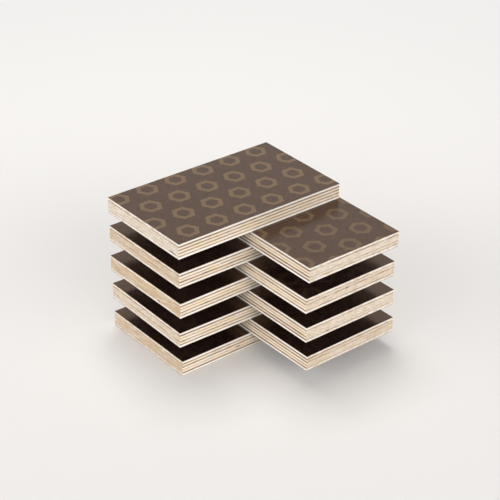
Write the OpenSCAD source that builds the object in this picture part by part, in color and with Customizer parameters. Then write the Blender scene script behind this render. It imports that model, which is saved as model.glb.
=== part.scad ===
// Stack of film-faced plywood sheets, laid crosswise and squared up to one shared corner.
// Millimetres, +Z up, with the origin at the middle of the stack's box, on the floor.

/* [Sheet] */
// Length of one sheet
sheet_l = 210; // [120:1:600]
// Width of one sheet
sheet_w = 120; // [80:1:400]

/* [Build-up] */
// Number of veneers with their grain along the sheet, with a cross ply between each two
long_ply_count = 5; // [2:1:8]
// Thickness of a veneer with its grain along the sheet
long_ply_t = 2.6; // [1:0.1:4]
// Thickness of a veneer with its grain across the sheet
cross_ply_t = 1; // [0.5:0.1:3]
// Thickness of the brown film on each face
film_t = 0.25; // [0.1:0.05:1]

/* [Stack] */
// Number of sheets, every other one turned a quarter turn
sheet_count = 9; // [2:1:20]
// How loosely the sheets lie on each other, where 0 is squared up
looseness = 1; // [0:0.1:2]

/* [Core gaps] */
// How far a gap in a cross ply reaches in from the sawn edge
core_gap_depth = 4; // [1:0.5:20]

/* [Hidden] */
// What each sheet is glued up from
KINDS = ["face_films", "long_plies", "cross_plies"];

// Each sheet's slip along X and along Y and its turn in degrees, from the bottom sheet up
slips = [
    [5.5, 0.5, -0.1],
    [3.5, 2, 0.6],
    [3.5, 0, -0.8],
    [2, 2, 0.2],
    [2.5, 1.5, 0.3],
    [-0.5, 2, 0.4],
    [2.5, 1.5, -0.3],
    [2, 1, 0.1],
    [0, 0, 0],
];

// Gaps that open in the sawn edges: sheet, cross ply from the bottom up, edge of the sheet,
// distance from that edge's first corner, and length
core_gaps = [
    [1, 2, "side", 70, 6],
    [3, 2, "side", 3, 3],
    [3, 2, "side", 55, 6],
    [4, 1, "end", 89, 4],
    [5, 1, "end", 34, 5],
    [5, 2, "side", 31, 5.5],
    [6, 3, "end", 64, 3],
    [9, 1, "end", 6, 10],
];

film_colour = [0.26, 0.19, 0.16];
long_ply_colour = [0.87, 0.79, 0.68];
cross_ply_colour = [0.67, 0.55, 0.41];

// Height from the underside of one long ply to that of the next
ply_pitch = long_ply_t + cross_ply_t;
sheet_t = 2 * film_t + long_ply_count * ply_pitch - cross_ply_t;

// The stack's box, from which its middle is put over the origin
low = [for (axis = [0, 1]) min([for (i = [1 : sheet_count]) centre(i)[axis] - reach(i)[axis]])];
high = [for (axis = [0, 1]) max([for (i = [1 : sheet_count]) centre(i)[axis] + reach(i)[axis]])];
middle = (low + high) / 2;

function node_name(i, kind) = str("sheet_", i, "_", kind);
function is_crosswise(i) = i % 2 == 0;
function slip(i) = looseness * slips[(i - 1) % len(slips)];
function turn(i) = slip(i)[2];
// Half of a sheet's size along X and Y before its small turn
function half_size(i) = (is_crosswise(i) ? [sheet_w, sheet_l] : [sheet_l, sheet_w]) / 2;
// Middle of a sheet, measured from the corner that all the sheets share
function centre(i) = [slip(i)[0], slip(i)[1]] - half_size(i);
// Half of a sheet's box along X and Y after its small turn
function reach(i) = [
    half_size(i)[0] * cos(turn(i)) + half_size(i)[1] * abs(sin(turn(i))),
    half_size(i)[1] * cos(turn(i)) + half_size(i)[0] * abs(sin(turn(i)))
];

// Puts a sheet, drawn flat around its own middle and lengthwise along X, in its place in the stack
module in_place(i) {
    translate([centre(i)[0] - middle[0], centre(i)[1] - middle[1], (i - 1) * sheet_t])
        rotate(turn(i) + (is_crosswise(i) ? 90 : 0))
            children();
}

// One layer of a sheet, from its outline
module layer(z, thickness) {
    translate([0, 0, z])
        linear_extrude(thickness)
            children();
}

module sheet_outline() {
    square([sheet_l, sheet_w], center = true);
}

// Outline of a gap, which runs in from one long side or one end of the sheet
module core_gap(edge, at, length) {
    translate([-sheet_l / 2, -sheet_w / 2])
        if (edge == "side") {
            translate([at, -core_gap_depth])
                square([length, 2 * core_gap_depth]);
        } else {
            translate([-core_gap_depth, at])
                square([2 * core_gap_depth, length]);
        }
}

module face_films(i) {
    color(film_colour)
        in_place(i)
            for (z = [0, sheet_t - film_t])
                layer(z, film_t)
                    sheet_outline();
}

module long_plies(i) {
    color(long_ply_colour)
        in_place(i)
            for (ply = [1 : long_ply_count])
                layer(film_t + (ply - 1) * ply_pitch, long_ply_t)
                    sheet_outline();
}

module cross_plies(i) {
    color(cross_ply_colour)
        in_place(i)
            for (ply = [1 : long_ply_count - 1])
                layer(film_t + ply * ply_pitch - cross_ply_t, cross_ply_t)
                    difference() {
                        sheet_outline();
                        for (gap = core_gaps)
                            if (gap[0] == i && gap[1] == ply)
                                core_gap(gap[2], gap[3], gap[4]);
                    }
}

for (i = [1 : sheet_count]) {
    face_films(i);
    long_plies(i);
    cross_plies(i);
}
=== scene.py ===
"""Looks of a stack of film-faced plywood sheets: sawn veneer edges, glue lines and printed face films.

Every piece takes its outline, place and thickness from the CAD node that it stands for.
"""

import math
from typing import NamedTuple

import bpy
import numpy as np
from mathutils import Matrix, Vector


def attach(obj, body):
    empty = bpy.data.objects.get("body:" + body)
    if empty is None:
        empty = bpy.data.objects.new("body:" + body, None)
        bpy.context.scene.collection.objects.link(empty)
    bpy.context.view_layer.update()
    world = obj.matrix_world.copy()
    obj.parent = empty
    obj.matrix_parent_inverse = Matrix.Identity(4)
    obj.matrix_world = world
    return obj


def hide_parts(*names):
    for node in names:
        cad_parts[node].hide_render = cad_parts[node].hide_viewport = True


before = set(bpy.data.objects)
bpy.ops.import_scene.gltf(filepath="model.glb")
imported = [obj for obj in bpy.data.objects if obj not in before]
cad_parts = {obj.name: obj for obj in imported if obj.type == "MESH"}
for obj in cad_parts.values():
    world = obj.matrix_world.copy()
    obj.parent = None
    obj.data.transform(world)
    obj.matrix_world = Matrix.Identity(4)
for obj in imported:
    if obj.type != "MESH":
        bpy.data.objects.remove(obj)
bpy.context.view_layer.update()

MM = 0.001

# Decimals, in metres, at which places and lengths read from the frame count as equal
PLACE_DECIMALS = 6
LENGTH_DECIMALS = 5

# Camera, as the photograph was taken: degrees, and millimetres in the object's frame
CAMERA_PLACE_MM = Vector((-916.8, -1092.9, 943.2))
CAMERA_AZIMUTH = -39.886
CAMERA_ELEVATION = 30.427
CAMERA_ROLL = 1.442
LENS_MM = 115.65
SENSOR_MM = 36.0

# Room: its light is strongest from the left and from the front, and the focus narrows both. It rises and
# then falls with the height that it comes from, which is 0 at the horizon and 1 overhead.
BACKDROP_COLOUR = (240, 239, 237)
ROOM_COLOUR = (255, 255, 255)
ROOM_EVEN_LIGHT = 0.5
ROOM_LEFT_LIGHT = 5.7
ROOM_FRONT_LIGHT = 6.5
ROOM_FOCUS = 4.0
ROOM_RISE = (0.08, 0.4)
ROOM_FALL = (0.45, 0.8)
ROOM_SHARE_AT_HORIZON = 0.12
ROOM_SHARE_OVERHEAD = 0.05

# Wide soft lamp above and behind, in metres
LAMP_PLACE = Vector((0.3, 0.75, 2.5))
LAMP_SIZE = 1.4
LAMP_WATTS = 40.0

# Floor, in metres: the camera sees a share of plain backdrop in it, which grows from near to far
FLOOR_SIZE = 12.0
FLOOR_COLOUR = (228, 225, 222)
FLOOR_NEAR_TO_FAR = (0.4, 1.3)
FLOOR_NEAR_GLOW = 0.07

# Distance between two points along a sawn edge, and the sharpest bend that is shaded smooth, in degrees
EDGE_STEP = 1.25 * MM
SMOOTH_ANGLE = 50.0

# How far glue darkens a layer from its border, as a share of its thickness
GLUE_REACH = 0.3

# How dark the line is where the upper film meets the outer ply
FILM_LINE = 0.7

# Range of the shade of the long plies that lie within a sheet, where 0 is an outer ply
INNER_SHADES = (0.6, 1.0)

# Colours as seen in plain light
FILM_COLOUR = (27, 18, 15)
FILM_CLOUD_COLOUR = (50, 35, 30)
FILM_SHEEN_COLOUR = (255, 195, 148)
PRINT_COLOUR = (98, 79, 56)
GLUE_COLOUR = (112, 64, 30)
# Glue on the upper and lower faces of the plies, seen only inside the gaps between them, made darker still
# as painted shade in those recesses
GLUE_AND_SHADE_FACE_COLOUR = (44, 26, 16)
OUTER_PLY_COLOUR = (249, 243, 233)
INNER_PLY_COLOUR = (241, 224, 199)
PALE_LINE_COLOUR = (216, 186, 146)
DARK_LINE_COLOUR = (72, 36, 16)
OUTER_END_COLOUR = (240, 235, 226)
PALE_END_COLOUR = (227, 218, 204)
TAN_END_COLOUR = (200, 172, 137)
END_LINE_COLOUR = (140, 102, 68)
STREAK_COLOUR = (190, 162, 130)
FLECK_COLOUR = (186, 150, 110)
RING_COLOUR = (196, 160, 116)
FIBRE_COLOUR = (178, 142, 100)
PORE_COLOUR = (132, 98, 66)

# Marks in the wood, in millimetres: along the sheet, across it and up
DASH_MM = (16.0, 16.0, 3.0)
STAIN_MM = (20.0, 20.0, 3.5)
STREAK_MM = (7.0, 7.0, 2.0)
FLECK_MM = (6.0, 6.0, 0.9)

# Marks in the wood that follow the grain, in millimetres: along the grain, across it and up
RING_MM = (60.0, 10.0, 0.6)
FIBRE_MM = (9.0, 0.28, 0.28)
PORE_MM = (3.0, 0.16, 0.16)

# Marks in the film, in millimetres: along the sheet, across it and up
FILM_GRAIN_MM = (40.0, 0.9, 1.0)
FILM_WAVE_MM = (22.0, 5.0, 1.0)
FILM_CLOUD_MM = (30.0, 30.0, 30.0)
FILM_MOTTLE_MM = (4.5, 4.5, 4.5)
FILM_SPECK_MM = (0.35, 0.35, 0.35)

# How far the marks move on from one ply or sheet to the next, in millimetres, so that no two look alike
PLY_SPREAD_MM = (310.0, 270.0, 90.0)
STAIN_SPREAD_MM = (37.0, 53.0, 11.0)
FILM_SPREAD_MM = (23.0, 41.0, 0.0)

# Gloss: the range of roughness, and the specular level
WOOD_ROUGHNESS = (0.7, 0.86)
WOOD_SPECULAR = 0.25
FILM_ROUGHNESS = (0.17, 0.27)
FILM_SPECULAR = 0.88
FLOOR_ROUGHNESS = 0.9
FLOOR_SPECULAR = 0.1

# Fine bumps: their height in millimetres, and their strength
WOOD_BUMP = (0.12, 0.5)
FILM_BUMP = (0.04, 0.6)

# Print on the film: hexagon rings, from row to row and along a row, from their middle to their mid-line,
# the width of the stroke, and half the width of its soft border
PRINT_ROW_MM = 31.0
PRINT_PITCH_MM = 36.0
HEXAGON_MM = 8.7
PRINT_STROKE_MM = 4.6
PRINT_SOFT_MM = 0.3


class SheetTones(NamedTuple):
    """Tones of one sheet, from 0 to 1.

    They are how tan its ends are, how well its print shows, and how dark the line of each cross ply is on
    the long sides and on the ends, from the bottom ply up.
    """

    end_tan: float
    ink: float
    side_lines: tuple
    end_lines: tuple


# From the bottom sheet up
SHEET_TONES = [
    SheetTones(0.9, 0.08, (0.8, 0.0, 0.6, 0.5), (0.2, 0.0, 0.2, 0.3)),
    SheetTones(0.5, 0.08, (1.0, 0.2, 0.8, 0.8), (0.2, 0.0, 0.4, 0.9)),
    SheetTones(0.4, 0.08, (0.5, 0.4, 0.1, 0.8), (0.2, 0.5, 0.0, 1.0)),
    SheetTones(0.2, 0.08, (1.0, 0.8, 0.2, 1.0), (0.5, 0.1, 0.0, 0.5)),
    SheetTones(1.0, 0.08, (0.5, 0.4, 0.1, 0.5), (0.4, 0.1, 0.2, 0.4)),
    SheetTones(0.4, 0.20, (0.5, 0.0, 0.6, 0.5), (0.7, 0.0, 0.5, 0.5)),
    SheetTones(0.8, 0.08, (0.5, 0.7, 0.3, 0.7), (0.1, 0.4, 0.1, 0.9)),
    SheetTones(0.2, 0.70, (1.0, 1.0, 0.2, 1.0), (0.4, 0.3, 0.0, 0.6)),
    SheetTones(0.0, 1.00, (0.4, 0.4, 0.5, 0.7), (0.3, 0.1, 0.1, 0.6)),
]


class Relief(NamedTuple):
    """How far a sawn edge is set back, in millimetres, each depth on the ends and on the long sides.

    The sway is the same in all the rows of points and the fibres differ from row to row, both with knots
    some points apart. The odds are those of a pit at a point, and the arris eases the layer's borders.
    """

    arris: float
    sway: tuple
    sway_spacing: int
    base: tuple = (0.0, 0.0)
    fibres: tuple = (0.0, 0.0)
    fibre_spacing: int = 1
    pits: tuple = (0.0, 0.0)
    pit_odds: float = 0.0


class Kind(NamedTuple):
    """What the like layers of a sheet share.

    The rows are the heights of the points on a layer's edge, as shares of its thickness, and the seed
    starts the random draws.
    """

    rows: tuple
    relief: Relief
    slot: str
    seed: int


KINDS = {
    "face_films": Kind(
        rows=(0.0, 0.25, 0.75, 1.0),
        relief=Relief(
            arris=0.05,
            base=(0.02, 0.02),
            sway=(0.06, 0.06),
            sway_spacing=3,
            pits=(0.25, 0.25),
            pit_odds=0.012,
        ),
        slot="film",
        seed=10,
    ),
    "long_plies": Kind(
        rows=(0.0, 0.045, 0.2, 0.5, 0.8, 0.955, 1.0),
        relief=Relief(
            arris=0.12,
            sway=(0.05, 0.05),
            sway_spacing=14,
            fibres=(0.09, 0.05),
            fibre_spacing=4,
        ),
        slot="long_veneer",
        seed=10,
    ),
    "cross_plies": Kind(
        rows=(0.0, 0.1, 0.5, 0.9, 1.0),
        relief=Relief(
            arris=0.08,
            base=(0.05, 0.12),
            sway=(0.06, 0.18),
            sway_spacing=5,
            fibres=(0.06, 0.12),
            fibre_spacing=2,
            pits=(0.25, 0.7),
            pit_odds=0.02,
        ),
        slot="cross_veneer",
        seed=11,
    ),
}


# Sheets, read from the frame


class Layer:
    """One solid of a CAD node: its outline, seen from above and counter-clockwise, and its heights."""

    def __init__(self, mesh, low, high):
        self.low = low
        self.high = high
        self.outline = [Vector(point) for point in self.walk(mesh, low)]

    @staticmethod
    def walk(mesh, level):
        """The corners round the face of the mesh that lies at this level and looks down."""
        border = set()
        for face in mesh.polygons:
            corners = [mesh.vertices[v].co for v in face.vertices]
            if any(round(corner.z, PLACE_DECIMALS) != level for corner in corners):
                continue
            points = [tuple(round(value, PLACE_DECIMALS) for value in corner.xy) for corner in corners]
            for start, end in zip(points, points[1:] + points[:1]):
                if (end, start) in border:
                    border.remove((end, start))
                else:
                    border.add((start, end))
        follower = dict(border)
        loop = [min(follower)]
        while follower[loop[-1]] != loop[0]:
            loop.append(follower[loop[-1]])
        return loop[::-1]


def layers_of(node):
    """The solids of a CAD node whose solids lie one above the other, from the bottom up."""
    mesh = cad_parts[node].data
    heights = sorted({round(vertex.co.z, PLACE_DECIMALS) for vertex in mesh.vertices})
    return [Layer(mesh, low, high) for low, high in zip(heights[::2], heights[1::2])]


def sheet_place(films):
    """Matrix of a sheet's own frame: X along the sheet, Z up, and the origin amid its underside."""
    corners = films[0].outline
    middle = sum(corners, Vector((0.0, 0.0))) / len(corners)
    sides = [end - start for start, end in zip(corners, corners[1:] + corners[:1])]
    along = max(sides, key=lambda side: (round(side.length, LENGTH_DECIMALS), side.x + side.y)).normalized()
    place = Matrix.Translation((middle.x, middle.y, films[0].low))
    return place @ Matrix.Rotation(math.atan2(along.y, along.x), 4, "Z")


# Meshes


def spaced(outline, step):
    """Points along an outline about a step apart, with the way out of the solid at each.

    At a corner the way out is the sum of the two sides' ways, so that both sides are set back alike.
    """
    sides = [end - start for start, end in zip(outline, outline[1:] + outline[:1])]
    outward = [Vector((side.y, -side.x)).normalized() for side in sides]
    points, ways = [], []
    for number, (start, side) in enumerate(zip(outline, sides)):
        count = max(1, round(side.length / step))
        for share in range(count):
            points.append(start + side * (share / count))
            ways.append(outward[number] if share else outward[number] + outward[number - 1])
    return np.array(points), np.array(ways)


def wander(rng, count, spacing):
    """A smooth random run of values from 0 to 1 round a closed line, with knots a spacing apart."""
    knots = max(3, round(count / spacing))
    values = rng.random(knots)
    at = np.arange(count) * knots / count
    share = at % 1
    ease = share * share * (3 - 2 * share)
    before = at.astype(int)
    return values[before] * (1 - ease) + values[(before + 1) % knots] * ease


def tears(rng, count, odds, flank=0.6):
    """Sparse pits along a closed line, from 0 to 1, each with a shallower point on both flanks."""
    pits = np.where(rng.random(count) < odds, rng.random(count), 0.0)
    return np.maximum.reduce([np.roll(pits, 1) * flank, pits, np.roll(pits, -1) * flank])


def edge_relief(rng, is_end, kind):
    """How far a layer's edge is set back, in millimetres, by row and by point round the outline."""
    relief = kind.relief
    count = len(is_end)

    def by_side(depths):
        return np.where(is_end, *depths)

    depth = by_side(relief.base) + by_side(relief.sway) * wander(rng, count, relief.sway_spacing)
    depth = np.tile(depth, (len(kind.rows), 1))
    if any(relief.fibres):
        fibres = [wander(rng, count, relief.fibre_spacing) for _ in kind.rows]
        depth += np.array(fibres) * by_side(relief.fibres)
    if any(relief.pits):
        depth += by_side(relief.pits) * tears(rng, count, relief.pit_odds)
    is_border = np.isin(kind.rows, (0.0, 1.0))
    return depth + np.where(is_border, relief.arris, 0.0)[:, None]


def layer_mesh(layer, place, kind, rng):
    """Points and faces of one layer in its sheet's frame, closed above and below, and each point's row."""
    inverse = place.inverted()
    outline = [(inverse @ Vector((corner.x, corner.y, 0.0))).to_2d() for corner in layer.outline]
    points, ways = spaced(outline, EDGE_STEP)
    is_end = np.abs(ways[:, 0]) > np.abs(ways[:, 1])
    set_back = edge_relief(rng, is_end, kind) * MM
    low = layer.low - place.translation.z
    thickness = layer.high - layer.low
    count = len(points)
    vertices = []
    for row, share in enumerate(kind.rows):
        flat = points - ways * set_back[row][:, None]
        height = np.full((count, 1), low + share * thickness)
        vertices.append(np.hstack([flat, height]))
    here = np.arange(count)
    after = (here + 1) % count
    last_row = len(kind.rows) - 1
    faces = [tuple(here[::-1])]
    for row in range(last_row):
        below, above = row * count, (row + 1) * count
        faces += zip(below + here, below + after, above + after, above + here)
    faces.append(tuple(last_row * count + here))
    return np.vstack(vertices), faces, np.repeat(kind.rows, count)


class Tone(NamedTuple):
    """Tones of one layer for its material.

    The shade is how well a film's print shows, how much a long ply lies within or how dark a cross ply is
    on the long sides. The line is how dark a cross ply is on the ends. Below and above are how much glue
    shows on the two borders.
    """

    shade: float = 0.0
    line: float = 0.0
    below: float = 0.0
    above: float = 0.0


def layer_tones(kind_name, count, tones, rng):
    """The tones of each of a sheet's like layers, from the bottom up."""

    def side_line(ply):
        return tones.side_lines[ply % len(tones.side_lines)]

    def end_line(ply):
        return tones.end_lines[ply % len(tones.end_lines)]

    if kind_name == "face_films":
        return [Tone(shade=tones.ink)] * count
    if kind_name == "cross_plies":
        return [Tone(side_line(ply), end_line(ply), side_line(ply), side_line(ply)) for ply in range(count)]
    long_plies = []
    for ply in range(count):
        is_lowest, is_topmost = ply == 0, ply == count - 1
        shade = 0.0 if is_lowest or is_topmost else rng.uniform(*INNER_SHADES)
        below = 0.0 if is_lowest else side_line(ply - 1)
        above = FILM_LINE if is_topmost else side_line(ply)
        long_plies.append(Tone(shade=shade, below=below, above=above))
    return long_plies


def joined_layers(sheet_number, kind_name, layers, place):
    """Points and faces of a sheet's like layers, and each point's values for the material."""
    kind = KINDS[kind_name]
    tones = SHEET_TONES[(sheet_number - 1) % len(SHEET_TONES)]
    rng = np.random.default_rng([sheet_number, kind.seed])
    vertices, faces = [], []
    values = {"glue": [], "ply": [], "shade": [], "line": [], "tan": []}
    start = 0
    for layer, tone in zip(layers, layer_tones(kind_name, len(layers), tones, rng)):
        points, layer_faces, share = layer_mesh(layer, place, kind, rng)
        count = len(points)
        vertices.append(points)
        faces += [tuple(int(v) + start for v in face) for face in layer_faces]
        from_below = 1 - share / GLUE_REACH
        from_above = 1 - (1 - share) / GLUE_REACH
        glue = np.maximum(tone.below * from_below, tone.above * from_above)
        values["glue"].append(np.maximum(glue, 0.0))
        values["ply"].append(np.full(count, sheet_number + rng.random()))
        values["shade"].append(np.full(count, tone.shade))
        values["line"].append(np.full(count, tone.line))
        values["tan"].append(np.full(count, tones.end_tan))
        start += count
    return np.vstack(vertices), faces, {label: np.concatenate(parts) for label, parts in values.items()}


def shade_edges(mesh):
    """Shades the edges of the layers smooth and their upper and lower faces flat, with a sharp border."""
    sizes = [len(face.vertices) for face in mesh.polygons]
    mesh.polygons.foreach_set("use_smooth", [size == 4 for size in sizes])
    mesh.set_sharp_from_angle(angle=math.radians(SMOOTH_ANGLE))
    for face, size in zip(mesh.polygons, sizes):
        if size > 4:
            for loop in face.loop_indices:
                mesh.edges[mesh.loops[loop].edge_index].use_edge_sharp = True


def sheet_piece(sheet_number, kind_name, layers, place, material):
    """One piece made of a sheet's like layers."""
    vertices, faces, values = joined_layers(sheet_number, kind_name, layers, place)
    mesh = bpy.data.meshes.new(f"looks_sheet_{sheet_number}_{kind_name}")
    mesh.from_pydata(vertices.tolist(), [], faces)
    for label, point_values in values.items():
        mesh.attributes.new(label, "FLOAT", "POINT").data.foreach_set("value", point_values)
    shade_edges(mesh)
    mesh.materials.append(material)
    piece = bpy.data.objects.new(mesh.name, mesh)
    piece.matrix_world = place
    bpy.context.scene.collection.objects.link(piece)
    return piece


# Materials


def linear(colour):
    """A colour written as 0 to 255 values, as the shaders take it."""
    shares = [value / 255 for value in colour]
    straight = [s / 12.92 if s <= 0.04045 else ((s + 0.055) / 1.055) ** 2.4 for s in shares]
    return (*straight, 1.0)


class Nodes:
    """A node tree, with short calls for the nodes that are used here."""

    def __init__(self, tree):
        self.tree = tree

    def add(self, kind, inputs, **settings):
        """A node with its settings and inputs, each input a value or another node's output."""
        made = self.tree.nodes.new(kind)
        for name, value in settings.items():
            setattr(made, name, value)
        for name, value in inputs.items():
            self.put(made.inputs[name], value)
        return made

    def put(self, socket, value):
        if isinstance(value, bpy.types.NodeSocket):
            self.tree.links.new(value, socket)
        else:
            socket.default_value = value

    def math(self, operation, first, second=0.0, third=0.0):
        inputs = {0: first, 1: second, 2: third}
        return self.add("ShaderNodeMath", inputs, operation=operation).outputs[0]

    def vector(self, operation, first, second=(0.0, 0.0, 0.0)):
        made = self.add("ShaderNodeVectorMath", {0: first, 1: second}, operation=operation)
        return made.outputs["Value" if operation in ("DOT_PRODUCT", "LENGTH") else "Vector"]

    def parts(self, vector):
        made = self.add("ShaderNodeSeparateXYZ", {"Vector": vector})
        return made.outputs["X"], made.outputs["Y"], made.outputs["Z"]

    def coordinate(self, name):
        return self.add("ShaderNodeTexCoord", {}).outputs[name]

    def ramp(self, value, source, target=(0.0, 1.0)):
        """The value eased from one range to another, and held at the ends."""
        inputs = {0: value, 1: source[0], 2: source[1], 3: target[0], 4: target[1]}
        return self.add("ShaderNodeMapRange", inputs, interpolation_type="SMOOTHSTEP").outputs[0]

    def between(self, share, low, high):
        """Low at a share of 0, high at a share of 1, and in proportion between them."""
        return self.math("MULTIPLY_ADD", share, high - low, low)

    def seen(self):
        """1 for what the camera sees, also mirrored or through glass, and 0 for what lights the scene."""
        path = self.add("ShaderNodeLightPath", {}).outputs
        mirrored = self.math("MAXIMUM", path["Is Glossy Ray"], path["Is Transmission Ray"])
        return self.math("MAXIMUM", path["Is Camera Ray"], mirrored)

    def finish_with(self, output, share, first, second):
        """Sets the surface of the output node to a share of the second shader over the first."""
        both = self.add("ShaderNodeMixShader", {0: share, 1: first.outputs[0], 2: second.outputs[0]})
        self.put(self.tree.nodes[output].inputs["Surface"], both.outputs[0])


class Shader(Nodes):
    """The node tree of a new material."""

    def __init__(self, name):
        self.material = bpy.data.materials.new(name)
        self.material.use_nodes = True
        super().__init__(self.material.node_tree)
        self.surface = self.tree.nodes["Principled BSDF"]

    def set(self, **values):
        """Sets sockets of the surface, with _ for a space in their names."""
        for name, value in values.items():
            self.put(self.surface.inputs[name.replace("_", " ")], value)

    def attribute(self, name):
        return self.add("ShaderNodeAttribute", {}, attribute_name=name).outputs["Fac"]

    def noise(self, place, size_mm, detail, roughness=0.5):
        """Noise whose marks have about this size along X, Y and Z."""
        scaled = self.vector("MULTIPLY", place, tuple(1 / size for size in size_mm))
        inputs = {"Vector": scaled, "Scale": 1.0, "Detail": detail, "Roughness": roughness}
        return self.add("ShaderNodeTexNoise", inputs).outputs["Fac"]

    def mix(self, share, first, second):
        made = self.add("ShaderNodeMix", {0: share, 6: first, 7: second}, data_type="RGBA")
        return made.outputs[2]

    def bump(self, height, distance_mm, strength):
        inputs = {"Height": height, "Distance": distance_mm * MM, "Strength": strength}
        return self.add("ShaderNodeBump", inputs).outputs["Normal"]

    def place_mm(self, number, spread):
        """Where a point lies in its sheet's own frame, in millimetres, moved on for each number."""
        steps = self.add("ShaderNodeCombineXYZ", {0: number, 1: number, 2: number}).outputs[0]
        moved = self.vector("MULTIPLY", steps, spread)
        return self.vector("ADD", self.vector("MULTIPLY", self.coordinate("Object"), (1 / MM,) * 3), moved)

    def sheet_number(self):
        """The number of the sheet, without the part that tells its plies apart."""
        return self.math("FLOOR", self.attribute("ply"))

    def faces(self, way, source=(0.3, 0.8)):
        """How squarely the surface looks along a way of its sheet's own frame, from 0 to 1."""
        turned = self.vector("DOT_PRODUCT", self.coordinate("Normal"), way)
        return self.ramp(self.math("ABSOLUTE", turned), source)


def end_colour(s, ply_place, has_outer_plies):
    """Colour of a veneer on the sheet's ends, with stains and streaks: the outer plies are paler."""
    stains = s.noise(s.place_mm(s.sheet_number(), STAIN_SPREAD_MM), STAIN_MM, 3.0, 0.65)
    streaks = s.noise(ply_place, STREAK_MM, 2.0, 0.65)
    pale = linear(PALE_END_COLOUR)
    tan = s.math("MULTIPLY", s.attribute("tan"), s.ramp(stains, (0.35, 0.65), (0.3, 1.0)))
    if has_outer_plies:
        inner = s.ramp(s.attribute("shade"), (0.0, 0.3))
        pale = s.mix(inner, linear(OUTER_END_COLOUR), pale)
        tan = s.math("MULTIPLY", tan, s.between(inner, 0.35, 1.0))
    colour = s.mix(tan, pale, linear(TAN_END_COLOUR))
    return s.mix(s.ramp(streaks, (0.42, 0.7), (0.0, 0.6)), colour, linear(STREAK_COLOUR))


def veneer_material(name, grain, side_colours):
    """Sawn veneer edge, whose rings, fibres and pores follow the grain along the sheet's X or Y.

    The colours are the palest and the deepest tone on the sheet's long sides.
    """
    s = Shader(name)
    place = s.place_mm(s.attribute("ply"), PLY_SPREAD_MM)

    def grained(size_mm):
        """A size along the grain, across it and up, as a size along X, Y and Z."""
        along, across, up = size_mm
        return (along, across, up) if grain == "X" else (across, along, up)

    dashes = s.noise(place, DASH_MM, 3.0, 0.6)
    flecks = s.noise(place, FLECK_MM, 2.0, 0.6)
    rings = s.noise(place, grained(RING_MM), 2.0, 0.6)
    fibres = s.noise(place, grained(FIBRE_MM), 3.0, 0.6)
    pores = s.noise(place, grained(PORE_MM), 1.0)

    broken = s.ramp(dashes, (0.34, 0.62), (0.3, 1.6))
    side = s.mix(s.math("MULTIPLY", s.attribute("shade"), broken), *map(linear, side_colours))
    end = end_colour(s, place, has_outer_plies=grain == "X")
    end = s.mix(s.math("MULTIPLY", s.attribute("line"), broken), end, linear(END_LINE_COLOUR))
    is_end = s.faces((1.0, 0.0, 0.0))
    colour = s.mix(is_end, side, end)

    fleck_share = s.math("MULTIPLY", s.ramp(flecks, (0.56, 0.78)), s.between(is_end, 0.4, 0.6))
    colour = s.mix(fleck_share, colour, linear(FLECK_COLOUR))
    colour = s.mix(s.ramp(rings, (0.5, 0.72), (0.0, 0.32)), colour, linear(RING_COLOUR))
    colour = s.mix(s.ramp(fibres, (0.56, 0.75), (0.0, 0.2)), colour, linear(FIBRE_COLOUR))
    colour = s.mix(s.ramp(pores, (0.64, 0.74), (0.0, 0.25)), colour, linear(PORE_COLOUR))
    glue = s.math("MULTIPLY", s.attribute("glue"), s.between(is_end, 0.75, 0.15))
    colour = s.mix(glue, colour, linear(GLUE_COLOUR))
    # Painted shade: the upper and lower faces of the plies, seen only inside the core gaps, take a glue
    # colour darkened to stand for the shade in those recesses
    colour = s.mix(s.faces((0.0, 0.0, 1.0), (0.95, 0.99)), colour, linear(GLUE_AND_SHADE_FACE_COLOUR))

    height = s.math("ADD", s.math("MULTIPLY", fibres, 0.7), s.math("MULTIPLY", pores, 0.3))
    s.set(Base_Color=colour, Specular_IOR_Level=WOOD_SPECULAR)
    s.set(Roughness=s.ramp(fibres, (0.3, 0.7), WOOD_ROUGHNESS), Normal=s.bump(height, *WOOD_BUMP))
    return s.material


def print_share(s, place):
    """Share of ink in a print of hexagon rings in staggered rows."""
    x, y, _ = s.parts(place)
    row = s.math("DIVIDE", y, PRINT_ROW_MM)
    stagger = s.math("MULTIPLY", s.math("FLOORED_MODULO", s.math("FLOOR", row), 2.0), 0.5)
    column = s.math("ADD", s.math("DIVIDE", x, PRINT_PITCH_MM), stagger)

    def from_middle(count, pitch):
        return s.math("MULTIPLY", s.math("ABSOLUTE", s.math("SUBTRACT", s.math("FRACT", count), 0.5)), pitch)

    across, up = from_middle(column, PRINT_PITCH_MM), from_middle(row, PRINT_ROW_MM)
    slant = math.radians(30)
    slanted = s.math("MULTIPLY_ADD", across, math.cos(slant), s.math("MULTIPLY", up, math.sin(slant)))
    off_ring = s.math("ABSOLUTE", s.math("SUBTRACT", s.math("MAXIMUM", up, slanted), HEXAGON_MM))
    border = PRINT_STROKE_MM / 2
    return s.ramp(off_ring, (border - PRINT_SOFT_MM, border + PRINT_SOFT_MM), (1.0, 0.0))


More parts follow.
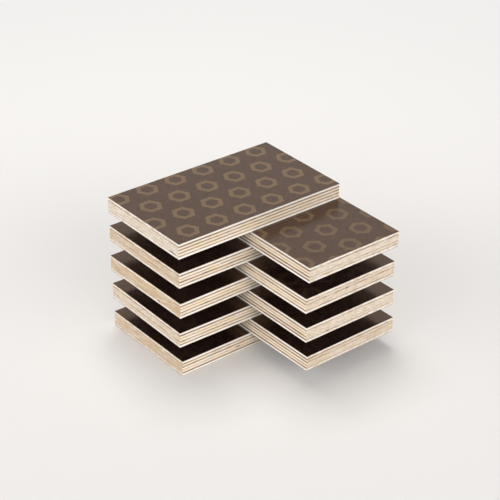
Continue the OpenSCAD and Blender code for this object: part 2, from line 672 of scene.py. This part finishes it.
def film_material():
    """Smooth brown resin film with a print, and the veneer below showing through faintly."""
    s = Shader("film")
    place = s.place_mm(s.sheet_number(), FILM_SPREAD_MM)
    grain = s.noise(place, FILM_GRAIN_MM, 3.0, 0.6)
    waves = s.noise(place, FILM_WAVE_MM, 1.0)
    cloud = s.noise(place, FILM_CLOUD_MM, 3.0)
    mottle = s.noise(place, FILM_MOTTLE_MM, 3.0)
    speck = s.noise(place, FILM_SPECK_MM, 2.0)

    ink = s.math("MULTIPLY", print_share(s, place), s.ramp(speck, (0.3, 0.6), (0.65, 0.95)))
    ink = s.math("MULTIPLY", ink, s.attribute("shade"))
    colour = s.mix(s.ramp(mottle, (0.3, 0.7)), linear(FILM_COLOUR), linear(FILM_CLOUD_COLOUR))
    colour = s.mix(ink, colour, linear(PRINT_COLOUR))

    height = s.math("MULTIPLY_ADD", grain, 0.1, waves)
    s.set(Base_Color=colour, Specular_IOR_Level=FILM_SPECULAR, Specular_Tint=linear(FILM_SHEEN_COLOUR))
    s.set(Roughness=s.ramp(cloud, (0.3, 0.7), FILM_ROUGHNESS), Normal=s.bump(height, *FILM_BUMP))
    return s.material


def floor_material():
    """Pale floor that is seen in part as plain backdrop: its shadows are light, and it has no far end."""
    s = Shader("floor")
    s.set(Base_Color=linear(FLOOR_COLOUR), Roughness=FLOOR_ROUGHNESS, Specular_IOR_Level=FLOOR_SPECULAR)
    distance = s.vector("LENGTH", s.coordinate("Object"))
    backdrop = s.add("ShaderNodeEmission", {"Color": linear(BACKDROP_COLOUR), "Strength": 1.0})
    share = s.math("MULTIPLY", s.seen(), s.ramp(distance, FLOOR_NEAR_TO_FAR, (FLOOR_NEAR_GLOW, 1.0)))
    s.finish_with("Material Output", share, s.surface, backdrop)
    return s.material


# Stage


def make_camera():
    camera = bpy.data.objects.new("camera", bpy.data.cameras.new("camera"))
    azimuth, tip, roll = map(math.radians, (CAMERA_AZIMUTH, 90 - CAMERA_ELEVATION, CAMERA_ROLL))
    turn = Matrix.Rotation(azimuth, 4, "Z") @ Matrix.Rotation(tip, 4, "X") @ Matrix.Rotation(roll, 4, "Z")
    camera.matrix_world = Matrix.Translation(CAMERA_PLACE_MM * MM) @ turn
    camera.data.sensor_width = SENSOR_MM
    camera.data.lens = LENS_MM
    bpy.context.scene.collection.objects.link(camera)
    bpy.context.scene.camera = camera


def make_floor():
    half = FLOOR_SIZE / 2
    corners = [(-half, -half, 0), (half, -half, 0), (half, half, 0), (-half, half, 0)]
    mesh = bpy.data.meshes.new("floor")
    mesh.from_pydata(corners, [], [(0, 1, 2, 3)])
    mesh.materials.append(floor_material())
    floor = bpy.data.objects.new("floor", mesh)
    bpy.context.scene.collection.objects.link(floor)


def make_lamp():
    light = bpy.data.lights.new("lamp", "AREA")
    light.size = LAMP_SIZE
    light.energy = LAMP_WATTS
    lamp = bpy.data.objects.new("lamp", light)
    lamp.location = LAMP_PLACE
    lamp.rotation_euler = (-LAMP_PLACE).to_track_quat("-Z", "Y").to_euler()
    bpy.context.scene.collection.objects.link(lamp)


def make_world():
    """A room that lights the object at a plain level, and that the camera and reflections see as pale."""
    world = bpy.data.worlds.new("room")
    world.use_nodes = True
    s = Nodes(world.node_tree)
    rightward, backward, height = s.parts(s.coordinate("Generated"))
    level = ROOM_EVEN_LIGHT
    for away, light in ((rightward, ROOM_LEFT_LIGHT), (backward, ROOM_FRONT_LIGHT)):
        toward = s.math("MAXIMUM", s.math("MULTIPLY", away, -1.0), 0.0)
        level = s.math("MULTIPLY_ADD", s.math("POWER", toward, ROOM_FOCUS), light, level)
    rise = s.ramp(height, ROOM_RISE, (ROOM_SHARE_AT_HORIZON, 1.0))
    fall = s.ramp(height, ROOM_FALL, (1.0, ROOM_SHARE_OVERHEAD))
    level = s.math("MULTIPLY", level, s.math("MULTIPLY", rise, fall))
    room = s.add("ShaderNodeBackground", {"Color": linear(ROOM_COLOUR), "Strength": level})
    backdrop = s.add("ShaderNodeBackground", {"Color": linear(BACKDROP_COLOUR), "Strength": 1.0})
    s.finish_with("World Output", s.seen(), room, backdrop)
    bpy.context.scene.world = world


# The stack

make_camera()
make_floor()
make_lamp()
make_world()
bpy.context.scene.view_settings.view_transform = "Standard"

materials = {
    "film": film_material(),
    "long_veneer": veneer_material("long_veneer", "X", (OUTER_PLY_COLOUR, INNER_PLY_COLOUR)),
    "cross_veneer": veneer_material("cross_veneer", "Y", (PALE_LINE_COLOUR, DARK_LINE_COLOUR)),
}

sheet_numbers = sorted({int(node.split("_")[1]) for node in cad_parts})
for sheet_number in sheet_numbers:
    place = sheet_place(layers_of(f"sheet_{sheet_number}_face_films"))
    for kind_name, kind in KINDS.items():
        node = f"sheet_{sheet_number}_{kind_name}"
        piece = sheet_piece(sheet_number, kind_name, layers_of(node), place, materials[kind.slot])
        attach(piece, "root")
        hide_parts(node)
